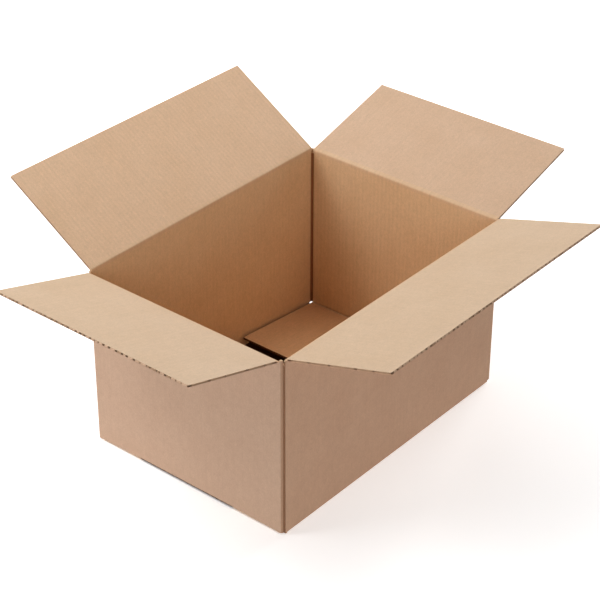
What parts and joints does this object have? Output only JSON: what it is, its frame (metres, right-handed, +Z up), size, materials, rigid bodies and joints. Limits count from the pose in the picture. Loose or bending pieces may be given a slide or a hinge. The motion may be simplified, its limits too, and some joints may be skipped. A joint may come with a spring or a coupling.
{
  "type": "open cardboard box",
  "caption": "Open slotted shipping carton of kraft corrugated board, with hinged top flaps standing out and a folded floor.",
  "frame": {"origin": "on the floor under the middle of the box's plan, on the bottom flaps' lower face", "axes": "+X along the long walls towards the sprung bottom flap, +Y from the near long wall, which holds the glue tab, to the far one, +Z up out of the open top"},
  "size_m": [0.7396, 0.6009, 0.3391],
  "materials": {
    "kraft_board": "matte",
    "kraft_flap": "matte"
  },
  "bodies": {
    "carton": {"carton": "kraft_board"},
    "long_flap_near": {"long_flap_near": "kraft_flap"},
    "long_flap_far": {"long_flap_far": "kraft_flap"},
    "short_flap_near": {"short_flap_near": "kraft_flap"},
    "short_flap_far": {"short_flap_far": "kraft_flap"}
  },
  "joints": [
    {"name": "long_crease_near", "type": "hinge", "parent": "carton", "child": "long_flap_near", "pos_m": [0, -0.1582, 0.253], "axis": [-1, 0, 0], "range_deg": [-97, 163]},
    {"name": "long_crease_far", "type": "hinge", "parent": "carton", "child": "long_flap_far", "pos_m": [0, 0.1582, 0.253], "axis": [1, 0, 0], "range_deg": [-112, 148]},
    {"name": "short_crease_near", "type": "hinge", "parent": "carton", "child": "short_flap_near", "pos_m": [-0.2182, 0, 0.2497], "axis": [0, 1, 0], "range_deg": [-96.5, 163.5]},
    {"name": "short_crease_far", "type": "hinge", "parent": "carton", "child": "short_flap_far", "pos_m": [0.2182, 0, 0.2497], "axis": [0, -1, 0], "range_deg": [-95.5, 164.5]}
  ]
}
